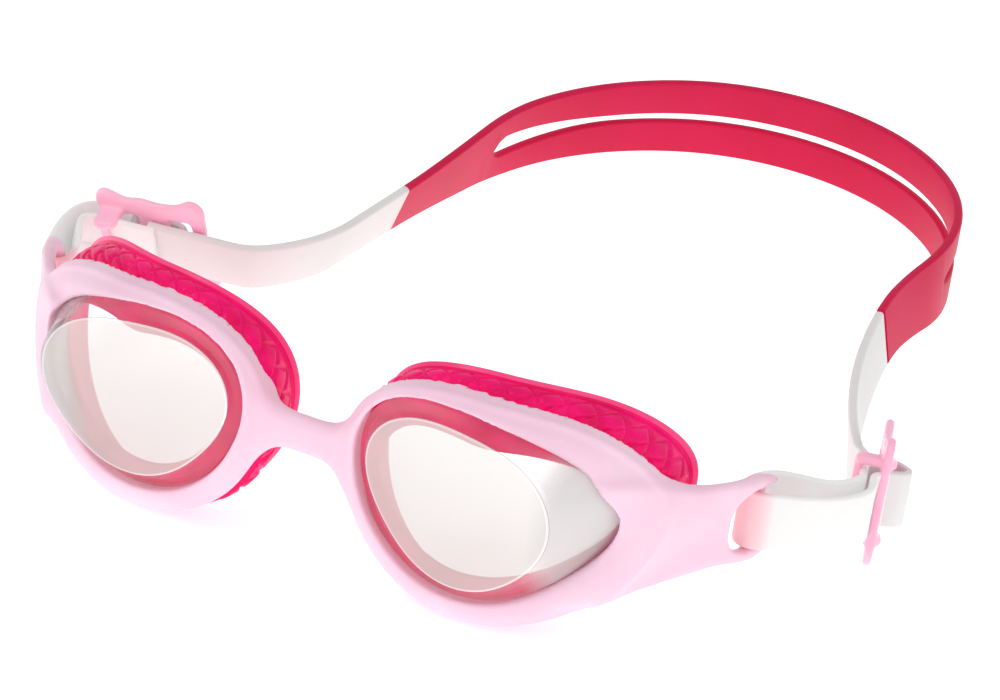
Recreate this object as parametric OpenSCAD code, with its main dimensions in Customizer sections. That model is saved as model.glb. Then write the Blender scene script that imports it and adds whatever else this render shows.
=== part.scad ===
// Swim goggles: one-piece frame with two clear lenses, two soft face gaskets, and a head strap
// that loops round a post at each temple, runs through a sliding buckle and splits in two behind
// the head. Front is -Y, up is +Z, +X is the wearer's left. The origin is the middle of the
// flat front of the nose bridge.

/* [Lenses] */
// Distance between the centres of the two lens fronts
lens_pitch = 62; // [60:0.5:64]
// How far the lens fronts stand ahead of the nose bridge
lens_stand = 4; // [3:0.5:5]
// Angle by which each lens front turns towards the nose
lens_toe = 4.5; // [3:0.5:6]
// Half width of the flat lens front
front_half_w = 17.5; // [16.5:0.1:18]
// Half height of the flat lens front
front_half_h = 15.3; // [14.5:0.1:16]
// Wall thickness of a lens
lens_wall = 1.5; // [1.2:0.1:1.8]

/* [Frame] */
// Half width of the opening that a lens stands in
opening_half_w = 20.5; // [20:0.1:21]
// Half height of the opening that a lens stands in
opening_half_h = 18.6; // [18:0.1:19]
// Thickness of the rim from front to back
rim_thick = 2.6; // [2.2:0.1:3]
// Height of the nose bridge at its middle
bridge_h = 7.6; // [6:0.2:9]
// Thickness of the nose bridge from front to back
bridge_thick = 3.6; // [3:0.1:4.5]
// Distance from the middle of the frame to a strap post
post_x = 71; // [70:0.5:72]
// Distance of a strap post behind the bridge front
post_y = 35.4; // [34.5:0.1:36]
// Radius of a strap post
post_r = 1.5; // [1.3:0.05:1.6]

/* [Gaskets] */
// Depth of a gasket from the frame to the face
gasket_depth = 6.5; // [5:0.5:8]
// Wall thickness of a gasket
gasket_wall = 1.8; // [1.5:0.1:2.2]

/* [Strap] */
// Height of the strap at the buckles
strap_h = 11.8; // [11:0.1:12]
// Height of the strap over both bands, behind the head
strap_back_h = 18.5; // [16:0.5:20]
// Thickness of the strap
strap_t = 1.8; // [1.5:0.1:1.8]
// Height of the gap between the upper and the lower band
slit_h = 5.5; // [4:0.5:6]
// Gap left open at each end of strap_back
open_gap = 1.3; // [1.2:0.1:1.5]

/* [Buckles] */
// Length of a buckle along the strap
buckle_l = 23; // [21:0.5:24]
// Height of a buckle between its ears
buckle_h = 17.4; // [17:0.2:19]
// Height that each ear adds above and below
ear_h = 2.4; // [1.5:0.1:3]
// Thickness of the buckle plate
buckle_t = 1.6; // [1.4:0.1:1.8]

/* [Hidden] */

$fn = 48;
steps = 48;          // stations round a lens
strap_z = -8.4;      // height of the strap's centre line and of the middle of each post
bore_clear = 0.05;   // running clearance between a post and the strap round it
lug_gap = 0.5;       // room above and below the strap in its slot
cup_clear = 0.15;    // gap between a lens and the rim round it

// ---- outlines round a lens -------------------------------------------------------------

// Radius of a rounded egg shape at an angle: a and b are its half axes, lean tips it,
// and c3 and s3 add the three-cornered part that makes one end blunter.
function egg(t, a, b, lean, c3, s3) =
    (1 + c3 * cos(3 * t) + s3 * sin(3 * t))
    / sqrt(pow(cos(t) / a, 2) + pow(sin(t) / b, 2) - 2 * lean * cos(t) * sin(t) / (a * b));

function front_r(t) = egg(t, front_half_w, front_half_h, -0.05, 0.01, 0.06);
function opening_r(t) = egg(t, opening_half_w, opening_half_h, -0.12, 0.03, 0.02);

// Where the opening's edge lies in front of or behind the lens front
function opening_w(u, v) =
    7.3 - 0.26 * u - (0.63 * u * u + 0.48 * v * v + 0.16 * u * v) / 20;

// Width of the rim outside the opening, and how far its outer edge falls back
function rim_out(t) = 3.9 - 1.5 * sin(t) + 3.4 * pow(max(0, cos(t)), 2)
    - 1.9 * pow(max(0, cos(t - 130)), 4);
function rim_drop(t) = 3.8 + 1.2 * sin(t) + 3.4 * pow(max(0, cos(t)), 2);

// A point near the wearer's left lens: r outward at angle t, dw forward of the opening's edge
function rim_pt(t, dr, dw) =
    let (r = opening_r(t), u = r * cos(t), v = r * sin(t))
    place((r + dr) * cos(t), (r + dr) * sin(t) - 0.7, opening_w(u, v) + dw);

// A point given by its place on the lens front: u outward, v up, w forward
function place(u, v, w) = [
    lens_pitch / 2 + u * cos(lens_toe) - w * sin(lens_toe),
    -lens_stand - u * sin(lens_toe) - w * cos(lens_toe),
    v];

function front_pt(t, dr, w) = place((front_r(t) + dr) * cos(t), (front_r(t) + dr) * sin(t), w);

// Closed ring made of sections[i], one section per station, each a closed loop of points
module ring(sections) {
    n = len(sections);
    m = len(sections[0]);
    points = [for (s = sections) for (p = s) p];
    faces = [for (i = [0 : n - 1]) for (j = [0 : m - 1])
        [((i + 1) % n) * m + j, ((i + 1) % n) * m + (j + 1) % m, i * m + (j + 1) % m, i * m + j]];
    polyhedron(points, faces, convexity = 6);
}

// Open tube of sections, closed at both ends
module loft(sections) {
    n = len(sections);
    m = len(sections[0]);
    points = [for (s = sections) for (p = s) p];
    sides = [for (i = [0 : n - 2]) for (j = [0 : m - 1])
        [i * m + j, i * m + (j + 1) % m, (i + 1) * m + (j + 1) % m, (i + 1) * m + j]];
    caps = [[for (j = [m - 1 : -1 : 0]) j], [for (j = [0 : m - 1]) (n - 1) * m + j]];
    polyhedron(points, concat(sides, caps), convexity = 6);
}

angles = [for (i = [0 : steps - 1]) i * 360 / steps];

// ---- lenses ----------------------------------------------------------------------------

module lens() {
    outer_w = -0.7;
    edge_back = -2.4;
    rows = [
        [for (t = angles) front_pt(t, 0, 0)],
        [for (t = angles) front_pt(t, 0.7, outer_w)],
        [for (t = angles) rim_pt(t, -cup_clear, -0.4)],
        [for (t = angles) rim_pt(t, -cup_clear, edge_back)],
        [for (t = angles) rim_pt(t, -cup_clear - lens_wall, edge_back)],
        [for (t = angles) front_pt(t, -0.6, -lens_wall)]];
    loft(rows);
}

// ---- face gaskets ----------------------------------------------------------------------

side_depth = 4.6;    // how much deeper the gasket is beside the nose and the temple

// Section of the gasket: it starts just behind the rim and ends in a soft lip at the face
function gasket_section(t) =
    let (out = rim_out(t) - 0.7 - 1.6 * pow(max(0, cos(t)), 2), back = -rim_drop(t) - rim_thick + 0.4,
         end = back - gasket_depth - side_depth * pow(cos(t), 2))
    [rim_pt(t, out, back),
     rim_pt(t, out + 0.5, back - 0.45 * gasket_depth),
     rim_pt(t, out + 0.3, end + 1.5),
     rim_pt(t, out - 0.4, end),
     rim_pt(t, out - 0.9 - gasket_wall, end),
     rim_pt(t, out - 0.2 - gasket_wall, end + 2),
     rim_pt(t, out - gasket_wall, back)];

module gasket() {
    ring([for (t = angles) gasket_section(t)]);
}

// ---- frame -----------------------------------------------------------------------------

function rim_section(t) =
    let (out = rim_out(t), drop = rim_drop(t))
    [rim_pt(t, 0, -rim_thick),
     rim_pt(t, 0, -0.3),
     rim_pt(t, 0.5, 0.1),
     rim_pt(t, 0.5 * out, -0.2 * drop),
     rim_pt(t, 0.85 * out, -0.62 * drop),
     rim_pt(t, out, -drop),
     rim_pt(t, out, -drop - 0.6 * rim_thick),
     rim_pt(t, out - 0.6, -drop - 0.85 * rim_thick),
     rim_pt(t, 0.45 * out, -0.35 * drop - rim_thick)];

module rim() {
    ring([for (t = angles) rim_section(t)]);
}

// The nose bridge: rounded upright sections from rim to rim, flat in front at the middle
module bridge() {
    half = 9;
    stations = 12;
    loft([for (i = [0 : stations])
        let (x = -half + 2 * half * i / stations,
             grow = pow(max(0, abs(x) - 2) / (half - 2), 2),
             h = bridge_h / 2 + 2.6 * grow,
             y0 = -0.2 * grow,
             y1 = bridge_thick + 0.4 * grow,
             c = 1.2)
        [[x, y0, -h + c], [x, y0, h - c], [x, y0 + c, h], [x, y1 - c, h],
         [x, y1, h - c], [x, y1, -h + c], [x, y1 - c, -h], [x, y0 + c, -h]]]);
}

// Plan of a temple arm, from under the rim to the strap post
arm_t = 2.6;
lug = 2.6;
slot_h = strap_h + 2 * lug_gap;
arm_points = [[54.5, 9], [58.5, 13.5], [62.5, 19], [66, 25], [69, 31], [post_x, post_y],
              [post_x + 1, post_y + 2.4]];

// Unit normal of a polyline at point i
function normal2(p, i) =
    let (a = p[max(0, i - 1)], b = p[min(len(p) - 1, i + 1)], d = b - a)
    [-d[1], d[0]] / norm(d);

// Closed outline of a ribbon of thickness t along the points p
function ribbon(p, t) = concat(
    [for (i = [0 : len(p) - 1]) p[i] + normal2(p, i) * t / 2],
    [for (i = [len(p) - 1 : -1 : 0]) p[i] - normal2(p, i) * t / 2]);

module arm() {
    post_top = strap_z + slot_h / 2;
    difference() {
        intersection() {
            translate([0, 0, -40]) linear_extrude(80) polygon(ribbon(arm_points, arm_t));
            // side view of the arm: deep at the rim, as tall as the slot and its lugs at the post
            rotate([90, 0, 90]) linear_extrude(100) polygon([
                [2, 8], [16, 3.5], [28, post_top + lug + 0.3], [34, post_top + lug],
                [37, post_top + 1.2], [39, post_top + 0.4],
                [39, strap_z - slot_h / 2 - 0.4], [37, strap_z - slot_h / 2 - 1.2],
                [34, strap_z - slot_h / 2 - lug], [27, -16], [18, -16.2], [9, -17.2], [2, -15]]);
        }
        // the D-shaped slot: round towards the lens, open round the post
        translate([0, 0, strap_z]) rotate([90, 0, 90]) linear_extrude(100) hull() {
            translate([post_y - 4.2, 0]) intersection() {
                circle(r = slot_h / 2);
                translate([-3.4, -slot_h]) square([20, 2 * slot_h]);
            }
            translate([post_y, -slot_h / 2]) square([8, slot_h]);
        }
    }
    translate([post_x, post_y, post_top - slot_h - 0.6]) cylinder(r = post_r, h = slot_h + 1.2);
}

module mirrored() {
    children();
    mirror([1, 0, 0]) children();
}

module front_frame() {
    color("pink") union() {
        bridge();
        mirrored() rim();
        mirrored() arm();
    }
}

// ---- strap -----------------------------------------------------------------------------

// The strap's run from the right buckle round the head to the left buckle, seen from above:
// each entry is [length, turn], and the turn is spread evenly along the length.
strap_start = [-50, 59];
strap_heading = 7;
strap_run = [[4, 0], [5, 38], [20, 38], [50, 0], [54, -51], [38, -44], [30, -38],
             [39, -52], [26, 16], [28, 24], [28, 0]];
run_step = 4;
start_lean = -22;    // how far the strap's top tips towards the goggles at the right buckle
join_lean = -14;     // the same at the left end of the magenta strap
dip = 10.5;           // how far the strap drops at the far end of the left buckle
dip_straight = 7;    // stations over which it climbs back, straight, through the buckle
dip_blend = 11;      // stations over which it eases down before that

function run_walk(p, h, list, i = 0) = i >= len(list) ? [] :
    let (n = ceil(list[i][0] / run_step), d = list[i][0] / n, w = list[i][1] / n,
         pts = [for (k = 0, q = p; k <= n;
                     q = q + d * [cos(h + w * (k + 0.5)), sin(h + w * (k + 0.5))], k = k + 1) q])
    concat([for (k = [0 : n - 1]) pts[k]],
           i == len(list) - 1 ? [pts[n]] : [],
           run_walk(pts[n], h + list[i][1], list, i + 1));

run = run_walk(strap_start, strap_heading, strap_run);
run_n = len(run);
end_heading = strap_heading + [for (s = strap_run) s[1]] * [for (s = strap_run) 1];
right_join = 13;                 // station where the right white end meets the magenta strap
left_join = run_n - 17;          // station where the magenta strap stops short of the left end

function smooth(x) = let (c = min(1, max(0, x))) c * c * (3 - 2 * c);
function run_lean(i) = start_lean * (1 - smooth(i / (0.75 * run_n)))
    + join_lean * smooth((i - left_join + 10) / 9) * (1 - smooth((i - left_join - 3) / 8));
function run_drop(i) = let (left = run_n - 1 - i) left < dip_straight
    ? dip * left / dip_straight : dip * (1 - smooth((left - dip_straight) / dip_blend));

// The point of a leaning strap section across by n along its thickness and up by h
function across(p, nrm, lean, drop, n, h) = [
    p[0] + nrm[0] * (n * cos(lean) + h * sin(lean)),
    p[1] + nrm[1] * (n * cos(lean) + h * sin(lean)),
    strap_z - drop + h * cos(lean) - n * sin(lean)];

// Sections of a strap of one height along the points, with a lean and a drop at each point
function tape(points, leans, drops) = [for (i = [0 : len(points) - 1])
    let (nrm = normal2(points, i), n = strap_t / 2, h = strap_h / 2)
    [for (c = [[n, -h], [-n, -h], [-n, h], [n, h]])
        across(points[i], nrm, leans[i], drops[i], c[0], c[1])]];

// Half height of the magenta strap and of the gap between its bands at a station
slit_a = right_join + 10;
slit_b = left_join - 8;
function band_h(i) = (strap_h + (strap_back_h - strap_h)
    * smooth((i - right_join) / 12) * smooth((left_join - i) / 12)) / 2;
function slit(i) = slit_h / 2 * sqrt(max(0, min(1, (i - slit_a) / 1.5)))
    * sqrt(max(0, min(1, (slit_b - i) / 2)))
    * (0.5 + 0.5 * (1 - smooth((i - slit_a) / 9)) + 0.25 * (1 - smooth((slit_b - i) / 9)));

// Magenta strap: each station has eight points, four on each face, and where there is no
// gap its two middle points are one.
bead_r = 0.8;
bead_h = 4;

module strap_back() {
    n = strap_t / 2;
    stations = [right_join : left_join];
    points = [for (i = stations) let (nrm = normal2(run, i), l = run_lean(i), h = band_h(i), g = slit(i))
        for (side = [n, -n]) for (z = [-h, -g, g, h])
            across(run[i], nrm, l, run_drop(i), side, z)];
    count = left_join - right_join;
    function id(i, face, level) = i * 8 + face * 4
        + (level == 2 && slit(i + right_join) == 0 ? 1 : level);
    faces = concat(
        [for (i = [0 : count - 1]) for (strip = [0, 2]) for (face = [0, 1])
            let (a = id(i, face, strip), b = id(i, face, strip + 1),
                 c = id(i + 1, face, strip + 1), d = id(i + 1, face, strip))
            face == 0 ? [a, d, c, b] : [a, b, c, d]],
        [for (i = [0 : count - 1]) for (edge = [0, 3])
            let (a = id(i, 0, edge), b = id(i + 1, 0, edge), c = id(i + 1, 1, edge), d = id(i, 1, edge))
            edge == 0 ? [a, d, c, b] : [a, b, c, d]],
        [for (i = [0 : count - 1]) if (slit(i + right_join) > 0 || slit(i + 1 + right_join) > 0)
            for (edge = [1, 2])
            let (a = id(i, 0, edge), b = id(i + 1, 0, edge), c = id(i + 1, 1, edge), d = id(i, 1, edge))
            edge == 1 ? [a, b, c, d] : [a, d, c, b]],
        [for (q = [[0, 1, 5, 4], [1, 3, 7, 5]]) q],
        [for (q = [[4, 5, 1, 0], [5, 7, 3, 1]]) [for (k = q) count * 8 + k]]);
    color("crimson") union() {
        polyhedron(points, faces, convexity = 8);
        // upright bead on the axis about which the strap flexes
        translate([run[right_join][0], run[right_join][1], strap_z - bead_h / 2])
            cylinder(r = bead_r, h = bead_h);
    }
}

function bezier(a, b, c, d, n) = [for (k = [0 : n]) let (t = k / n, s = 1 - t)
    a * s * s * s + b * 3 * s * s * t + c * 3 * s * t * t + d * t * t * t];

wrap_r = post_r + bore_clear + strap_t / 2;     // radius of the strap's centre line at a post
layer_off = buckle_t / 2 + 0.3 + strap_t / 2;   // from the buckle plate to a strap layer

// Plan of one strap end's loop, from the tail round the post to the buckle: post centre p,
// loop direction a, buckle's near end q, buckle heading h, side +1 where the outer layer is
// to the left of the heading, and the bulges of the inner and the outer layer.
function loop_plan(p, a, q, h, side, bulge_in, bulge_out) =
    let (dir = [cos(a), sin(a)], nrm = side * [-sin(a), cos(a)],
         bdir = [cos(h), sin(h)], bnrm = side * [-sin(h), cos(h)],
         tail = q + bnrm * 2 * layer_off - bdir * 2)
    concat(
        bezier(tail, tail - bdir * 6 + bnrm * bulge_out, p + nrm * wrap_r + dir * 8,
               p + nrm * wrap_r, 8),
        [for (k = [1 : 13]) let (w = a + side * (90 + 180 * k / 14)) p + wrap_r * [cos(w), sin(w)]],
        bezier(p - nrm * wrap_r, p - nrm * wrap_r + dir * 8, q - bdir * 7 - bnrm * bulge_in, q, 8));

run_head = [cos(strap_heading), sin(strap_heading)];
run_tail = -[cos(end_heading), sin(end_heading)];
right_near = strap_start - run_head * (buckle_l + 1);
left_near = run[run_n - 1];
right_loop_angle = 108;
left_loop_angle = 42;
loop_n = 31;         // points in a loop plan

module right_strap_end() {
    loop = loop_plan([-post_x, post_y], right_loop_angle, right_near, strap_heading, 1, 1, 1);
    last = run[right_join];
    gap = (run[right_join - 1] - last) / norm(run[right_join - 1] - last) * open_gap;
    plan = concat(loop, [for (i = [0 : right_join - 1]) run[i]], [last + gap]);
    leans = [for (k = [0 : len(plan) - 1])
        k >= loop_n ? run_lean(k - loop_n)
        : start_lean * (k < loop_n / 2 ? smooth((8 - k) / 7) : smooth((k - 22) / 7))];
    color("white") loft(tape(plan, leans, [for (p = plan) 0]));
}

module left_strap_end() {
    loop = loop_plan([post_x, post_y], left_loop_angle, left_near, end_heading + 180, -1, 5, 0);
    first = left_join;
    gap = (run[first + 1] - run[first]) / norm(run[first + 1] - run[first]) * open_gap;
    back = concat([for (i = [run_n - 2 : -1 : first + 1]) run[i]], [run[first] + gap]);
    plan = concat(loop, back);
    leans = [for (k = [0 : len(plan) - 1]) k < loop_n ? 0 : -run_lean(run_n - 2 - (k - loop_n))];
    drops = [for (k = [0 : len(plan) - 1]) k < loop_n ? 0 : run_drop(run_n - 2 - (k - loop_n))];
    color("white") loft(tape(plan, leans, drops));
}

// ---- buckles ---------------------------------------------------------------------------

// Plate with four flared ears and two strap windows, lugs above and below the strap, and a
// bar across the inner side. X runs along the strap, +Y is the outer side, Z is up.
module buckle() {
    half_l = buckle_l / 2;
    half_h = buckle_h / 2;
    window = strap_h + 1;
    bar_r = 0.7;
    inner = layer_off + strap_t / 2 + 0.3 + 2 * bar_r;
    outer = buckle_t / 2 + 1.2;
    rotate([90, 0, 0]) translate([0, 0, -buckle_t / 2]) linear_extrude(buckle_t) difference() {
        union() {
            square([buckle_l - 2, 2 * half_h - 3], center = true);
            for (sx = [-1, 1]) for (sz = [-1, 1]) hull() {
                translate([sx * (half_l - 2.2), sz * (half_h + ear_h - 2.2)]) circle(r = 2.2);
                translate([sx * (half_l - 5), sz * (half_h - 3)]) circle(r = 2.8);
            }
        }
        for (sx = [-1, 1]) translate([sx * (half_l - 5.3), 0])
            square([5.4, window], center = true);
    }
    // lugs above and below, and the inner bar between them at the post's end
    for (sz = [-1, 1]) translate([-half_l + 1.4, -inner, sz * (window / 2 + bar_r) - bar_r])
        cube([7, inner + outer, 2 * bar_r]);
    translate([-half_l + 3, bar_r - inner, -window / 2 - 1]) cylinder(r = bar_r, h = window + 2);
}

right_buckle_pos = right_near + run_head * (buckle_l / 2)
    + layer_off * cos(start_lean) * [-run_head[1], run_head[0]];
left_buckle_pos = left_near + run_tail * (buckle_l / 2) - layer_off * [-run_tail[1], run_tail[0]];
left_pitch = atan(dip / (dip_straight * run_step));

module right_buckle() {
    color("lightpink")
        translate([right_buckle_pos[0], right_buckle_pos[1], strap_z - layer_off * sin(start_lean)])
        rotate([0, 0, strap_heading]) rotate([-start_lean, 0, 0]) buckle();
}

module left_buckle() {
    drop = dip * (buckle_l / 2) / (dip_straight * run_step);
    color("lightpink") translate([left_buckle_pos[0], left_buckle_pos[1], strap_z - drop])
        rotate([0, 0, end_heading + 180]) rotate([0, left_pitch, 0]) mirror([0, 1, 0]) buckle();
}

module left_lens() {
    color("whitesmoke") lens();
}

module right_lens() {
    color("whitesmoke") mirror([1, 0, 0]) lens();
}

module left_gasket() {
    color("deeppink") gasket();
}

module right_gasket() {
    color("deeppink") mirror([1, 0, 0]) gasket();
}

front_frame();
left_lens();
right_lens();
left_gasket();
right_gasket();
strap_back();
left_strap_end();
right_strap_end();
left_buckle();
right_buckle();
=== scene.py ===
"""Swim goggles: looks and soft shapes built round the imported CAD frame, in metres."""
import math

import bmesh
import bpy
import numpy as np
from mathutils import Matrix, Vector


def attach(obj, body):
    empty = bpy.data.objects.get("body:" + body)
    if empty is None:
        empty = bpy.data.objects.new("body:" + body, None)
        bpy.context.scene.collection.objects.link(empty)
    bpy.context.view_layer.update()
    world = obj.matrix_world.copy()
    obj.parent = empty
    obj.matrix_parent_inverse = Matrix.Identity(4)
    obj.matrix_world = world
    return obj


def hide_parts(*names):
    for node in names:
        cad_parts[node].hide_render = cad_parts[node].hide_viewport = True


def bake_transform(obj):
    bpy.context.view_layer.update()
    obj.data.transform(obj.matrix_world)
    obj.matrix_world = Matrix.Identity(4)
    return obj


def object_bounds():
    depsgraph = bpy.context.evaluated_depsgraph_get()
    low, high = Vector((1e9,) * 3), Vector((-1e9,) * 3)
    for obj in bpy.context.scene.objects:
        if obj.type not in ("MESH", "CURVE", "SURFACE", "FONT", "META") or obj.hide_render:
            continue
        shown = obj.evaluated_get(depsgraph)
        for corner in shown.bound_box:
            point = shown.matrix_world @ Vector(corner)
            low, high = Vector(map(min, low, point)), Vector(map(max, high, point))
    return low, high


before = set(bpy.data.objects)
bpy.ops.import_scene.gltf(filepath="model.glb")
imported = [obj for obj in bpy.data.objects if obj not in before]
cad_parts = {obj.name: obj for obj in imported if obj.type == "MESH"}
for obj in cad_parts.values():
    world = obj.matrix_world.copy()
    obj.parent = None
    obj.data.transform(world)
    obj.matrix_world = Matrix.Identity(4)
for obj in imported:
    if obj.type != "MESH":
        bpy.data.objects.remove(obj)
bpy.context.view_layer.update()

MM = 0.001
TAU = 2 * math.pi

# ---- dimensions shared with the CAD source, in mm -----------------------------------------
LENS_PITCH, LENS_STAND, LENS_TOE = 62, 4, math.radians(4.5)
FRONT_HALF_W, FRONT_HALF_H, LENS_WALL = 17.5, 15.3, 1.5
OPENING_HALF_W, OPENING_HALF_H, OPENING_DROP = 20.5, 18.6, 0.7
RIM_THICK = 2.6
BRIDGE_H, BRIDGE_THICK = 7.6, 3.6
POST_X, POST_Y, POST_R = 71, 35.4, 1.5
GASKET_DEPTH, SIDE_DEPTH, GASKET_WALL = 6.5, 4.6, 1.8
STRAP_H, STRAP_BACK_H, STRAP_T, STRAP_Z = 11.8, 18.5, 1.8, -8.4
BUCKLE_L, BUCKLE_H, EAR_H, BUCKLE_T = 23, 17.4, 2.4, 1.6
SLOT_H = STRAP_H + 1
# the strap's middle line in plan: its start, its heading there in degrees, and the length and turn of
# each stretch. Places along it are counted in stations, which are at most STEP apart.
START, HEADING = (-50, 59), 7
RUN = [(4, 0), (5, 38), (20, 38), (50, 0), (54, -51), (38, -44), (30, -38),
       (39, -52), (26, 16), (28, 24), (28, 0)]
STEP = 4
START_LEAN, JOIN_LEAN = -22, -14
# the strap's dip before the left buckle: its depth, and the stations that it takes to rise straight
# to the end, and to level out the other way
DIP, DIP_STRAIGHT, DIP_BLEND = 10.5, 7, 11
# stations of the two joins between white and magenta, the left one counted back from the end
RIGHT_JOIN, LEFT_JOIN_BACK = 13, 17
# headings in which each loop leaves its post, in degrees
RIGHT_LOOP, LEFT_LOOP = 108, 42
WRAP_R = POST_R + 0.05 + STRAP_T / 2
LAYER_OFF = BUCKLE_T / 2 + 0.3 + STRAP_T / 2

# ---- values of the visual model only: lengths in mm, and counts ----------------------------
WELD_DIST = 0.003
FRAME_GRID, FRAME_GRID_QUICK, FRAME_RELAX = 0.38, 0.4, 7
BUCKLE_GRID = 0.28
LENS_POINTS, GASKET_POINTS = 192, 540
DIAMONDS, DIAMOND_SLANT = 30, 1.15
STRAP_EDGE, THIN_EDGE, THIN_T = 0.62, 0.5, 1.3
CORNER_SEG = 4
LEG_POINTS, ARC_POINTS = 36, 30
# how far the strap's left end and its buckle are set inwards, and over how many stations
TUCK, TUCK_RUN = 1.3, 8
# extra turns of the buckles, in degrees: the left one in plan and about its length, and the right
# one in the plane of its plate
LEFT_SKEW, LEFT_TIP, RIGHT_TIP = 12, 2, -7


# ---- small helpers ------------------------------------------------------------------------
def mesh_object(name, verts, faces, mat, smooth_angle=None, extra=(), weld=False):
    """A mesh object from points in mm, shaded smooth, with edges sharper than the angle kept.
    extra lists (material, first face, face after the last) for parts in another material, and weld
    merges points that lie on one another."""
    me = bpy.data.meshes.new(name)
    me.from_pydata((np.asarray(verts, float) * MM).tolist(), [], [list(map(int, f)) for f in faces])
    me.validate()
    if weld:
        bm = bmesh.new()
        bm.from_mesh(me)
        bmesh.ops.remove_doubles(bm, verts=bm.verts, dist=WELD_DIST * MM)
        bm.to_mesh(me)
        bm.free()
    me.materials.append(mat)
    me.polygons.foreach_set("use_smooth", [True] * len(me.polygons))
    for other, first, last in extra:
        me.materials.append(other)
        for k in range(first, last):
            me.polygons[k].material_index = len(me.materials) - 1
    if smooth_angle:
        me.set_sharp_from_angle(angle=math.radians(smooth_angle))
    ob = bpy.data.objects.new(name, me)
    bpy.context.collection.objects.link(ob)
    return ob


def smax(a, b, k):
    """The larger of two fields, rounded over a distance k where they meet."""
    h = np.clip(0.5 + 0.5 * (a - b) / k, 0, 1)
    return b + (a - b) * h + k * h * (1 - h)


def smin(a, b, k):
    """The smaller of two fields, rounded in the same way."""
    return -smax(-a, -b, k)


def step01(x):
    """A smooth step from 0 at x = 0 to 1 at x = 1."""
    c = np.clip(x, 0, 1)
    return c * c * (3 - 2 * c)


def eased(xs, ys, blur):
    """A line through the points with its corners eased over about blur."""
    grid = np.arange(min(xs) - 4 * blur, max(xs) + 4 * blur, 0.1)
    line = np.interp(grid, xs, ys)
    w = np.exp(-0.5 * (np.arange(-3 * blur, 3 * blur, 0.1) / blur) ** 2)
    pad = len(w) // 2
    line = np.convolve(np.pad(line, pad, mode="edge"), w / w.sum(), mode="same")[pad:-pad]
    return lambda x: np.interp(x, grid, line)


def nets(field, lo, hi, h, relax=2):
    """Closed quad mesh of the surface where field is zero, on a grid of spacing h in mm: a point in
    each cell that the surface crosses, and a face round each grid edge that it cuts. relax is how
    many times every point is then drawn halfway to the mean of its neighbours."""
    axes = [np.arange(lo[k], hi[k] + h, h) for k in range(3)]
    F = field(*np.meshgrid(*axes, indexing="ij"))
    inside = F < 0
    cells = np.array([len(a) - 1 for a in axes])
    ids, pts, quads = [], [], []
    for ax in range(3):
        u, v = (ax + 1) % 3, (ax + 2) % 3
        a, b = [slice(None)] * 3, [slice(None)] * 3
        a[ax], b[ax] = slice(0, -1), slice(1, None)
        cross = inside[tuple(a)] != inside[tuple(b)]
        idx = np.argwhere(cross)
        fa, fb = F[tuple(a)][cross], F[tuple(b)][cross]
        pos = idx.astype(float)
        pos[:, ax] += fa / (fa - fb)
        ring = []
        for du, dv in ((0, 0), (1, 0), (1, 1), (0, 1)):
            c = idx.copy()
            c[:, u] -= du
            c[:, v] -= dv
            ring.append((c[:, 0] * cells[1] + c[:, 1]) * cells[2] + c[:, 2])
            ids.append(ring[-1])
            pts.append(pos)
        q = np.stack(ring, 1)
        flip = ~inside[tuple(a)][cross]
        q[flip] = q[flip][:, ::-1]
        quads.append(q)
    ids, pts, quads = np.concatenate(ids), np.concatenate(pts), np.concatenate(quads)
    keys, inv = np.unique(ids, return_inverse=True)
    n = np.bincount(inv)
    verts = np.stack([np.bincount(inv, pts[:, k]) / n for k in range(3)], 1) * h + np.array(lo)
    faces = np.searchsorted(keys, quads)
    for _ in range(relax):
        total, count = np.zeros_like(verts), np.zeros(len(verts))
        for k in range(4):
            i, j = faces[:, k], faces[:, (k + 1) % 4]
            for d in range(3):
                total[:, d] += np.bincount(i, verts[j, d], len(verts)) + np.bincount(
                    j, verts[i, d], len(verts))
            count += np.bincount(i, minlength=len(verts)) + np.bincount(j, minlength=len(verts))
        verts = 0.5 * verts + 0.5 * total / count[:, None]
    return verts, faces


# ---- materials ----------------------------------------------------------------------------
TEMPLE_FADE = 0.044, 0.048  # metres either side of the middle, where a lens turns into its side window


def srgb(r, g, b):
    """A display colour, from 0 to 255, as linear red, green, blue and alpha."""
    return tuple(((c / 255 + 0.055) / 1.055) ** 2.4 if c > 10 else c / 255 / 12.92
                 for c in (r, g, b)) + (1,)


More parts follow.
